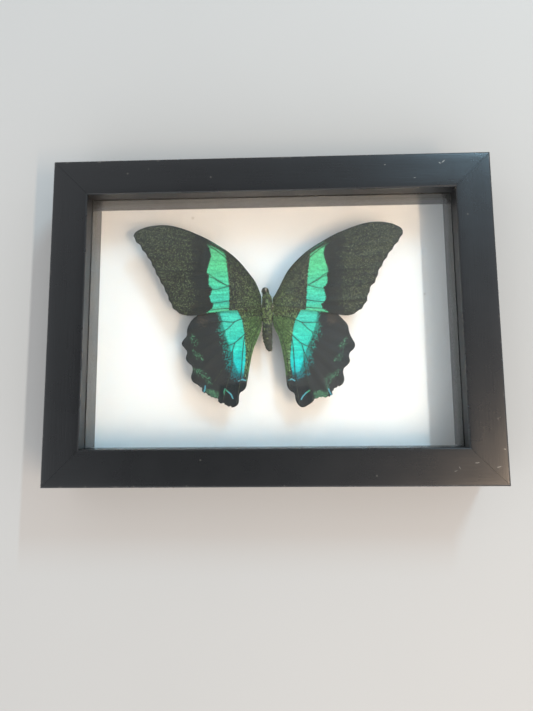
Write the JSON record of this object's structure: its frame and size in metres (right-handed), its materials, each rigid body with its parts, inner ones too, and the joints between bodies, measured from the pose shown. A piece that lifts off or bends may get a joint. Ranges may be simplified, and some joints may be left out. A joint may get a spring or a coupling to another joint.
{
  "type": "framed butterfly specimen",
  "caption": "Shallow black shadow-box frame with clear glass over a spread green and black butterfly, held above a white card.",
  "frame": {"origin": "middle of the frame's back, on the surface that it lies on", "axes": "+X to the right along the long rails, +Y towards the top rail, +Z out through the glass"},
  "size_m": [0.2, 0.1484, 0.03],
  "materials": {
    "frame_paint": "satin black paint on a flat wooden moulding",
    "glass": "clear polished float glass",
    "spacer": "satin black paper on card",
    "white_card": "matt white card",
    "hardboard": "brown hardboard, smooth side out",
    "steel": "zinc-plated",
    "foam": "fine white foam",
    "body_scales": "short dark hair with green scales",
    "wing_scales": "matt black scales with a shining green and blue band"
  },
  "bodies": {
    "root": {"rail_top": "frame_paint", "rail_bottom": "frame_paint", "rail_left": "frame_paint", "rail_right": "frame_paint", "glass": "glass", "spacer_top": "spacer", "spacer_bottom": "spacer", "spacer_left": "spacer", "spacer_right": "spacer", "backing_card": "white_card", "back_board": "hardboard", "tab_bottom_1": "steel", "tab_bottom_2": "steel", "tab_top_1": "steel", "tab_top_2": "steel", "tab_left_1": "steel", "tab_right_1": "steel", "hanger_plate": "steel", "hanger_screw_left": "steel", "hanger_screw_right": "steel", "mounting_block": "foam", "body": "body_scales", "forewing_left": "wing_scales", "forewing_right": "wing_scales", "hindwing_left": "wing_scales", "hindwing_right": "wing_scales"}
  },
  "joints": []
}
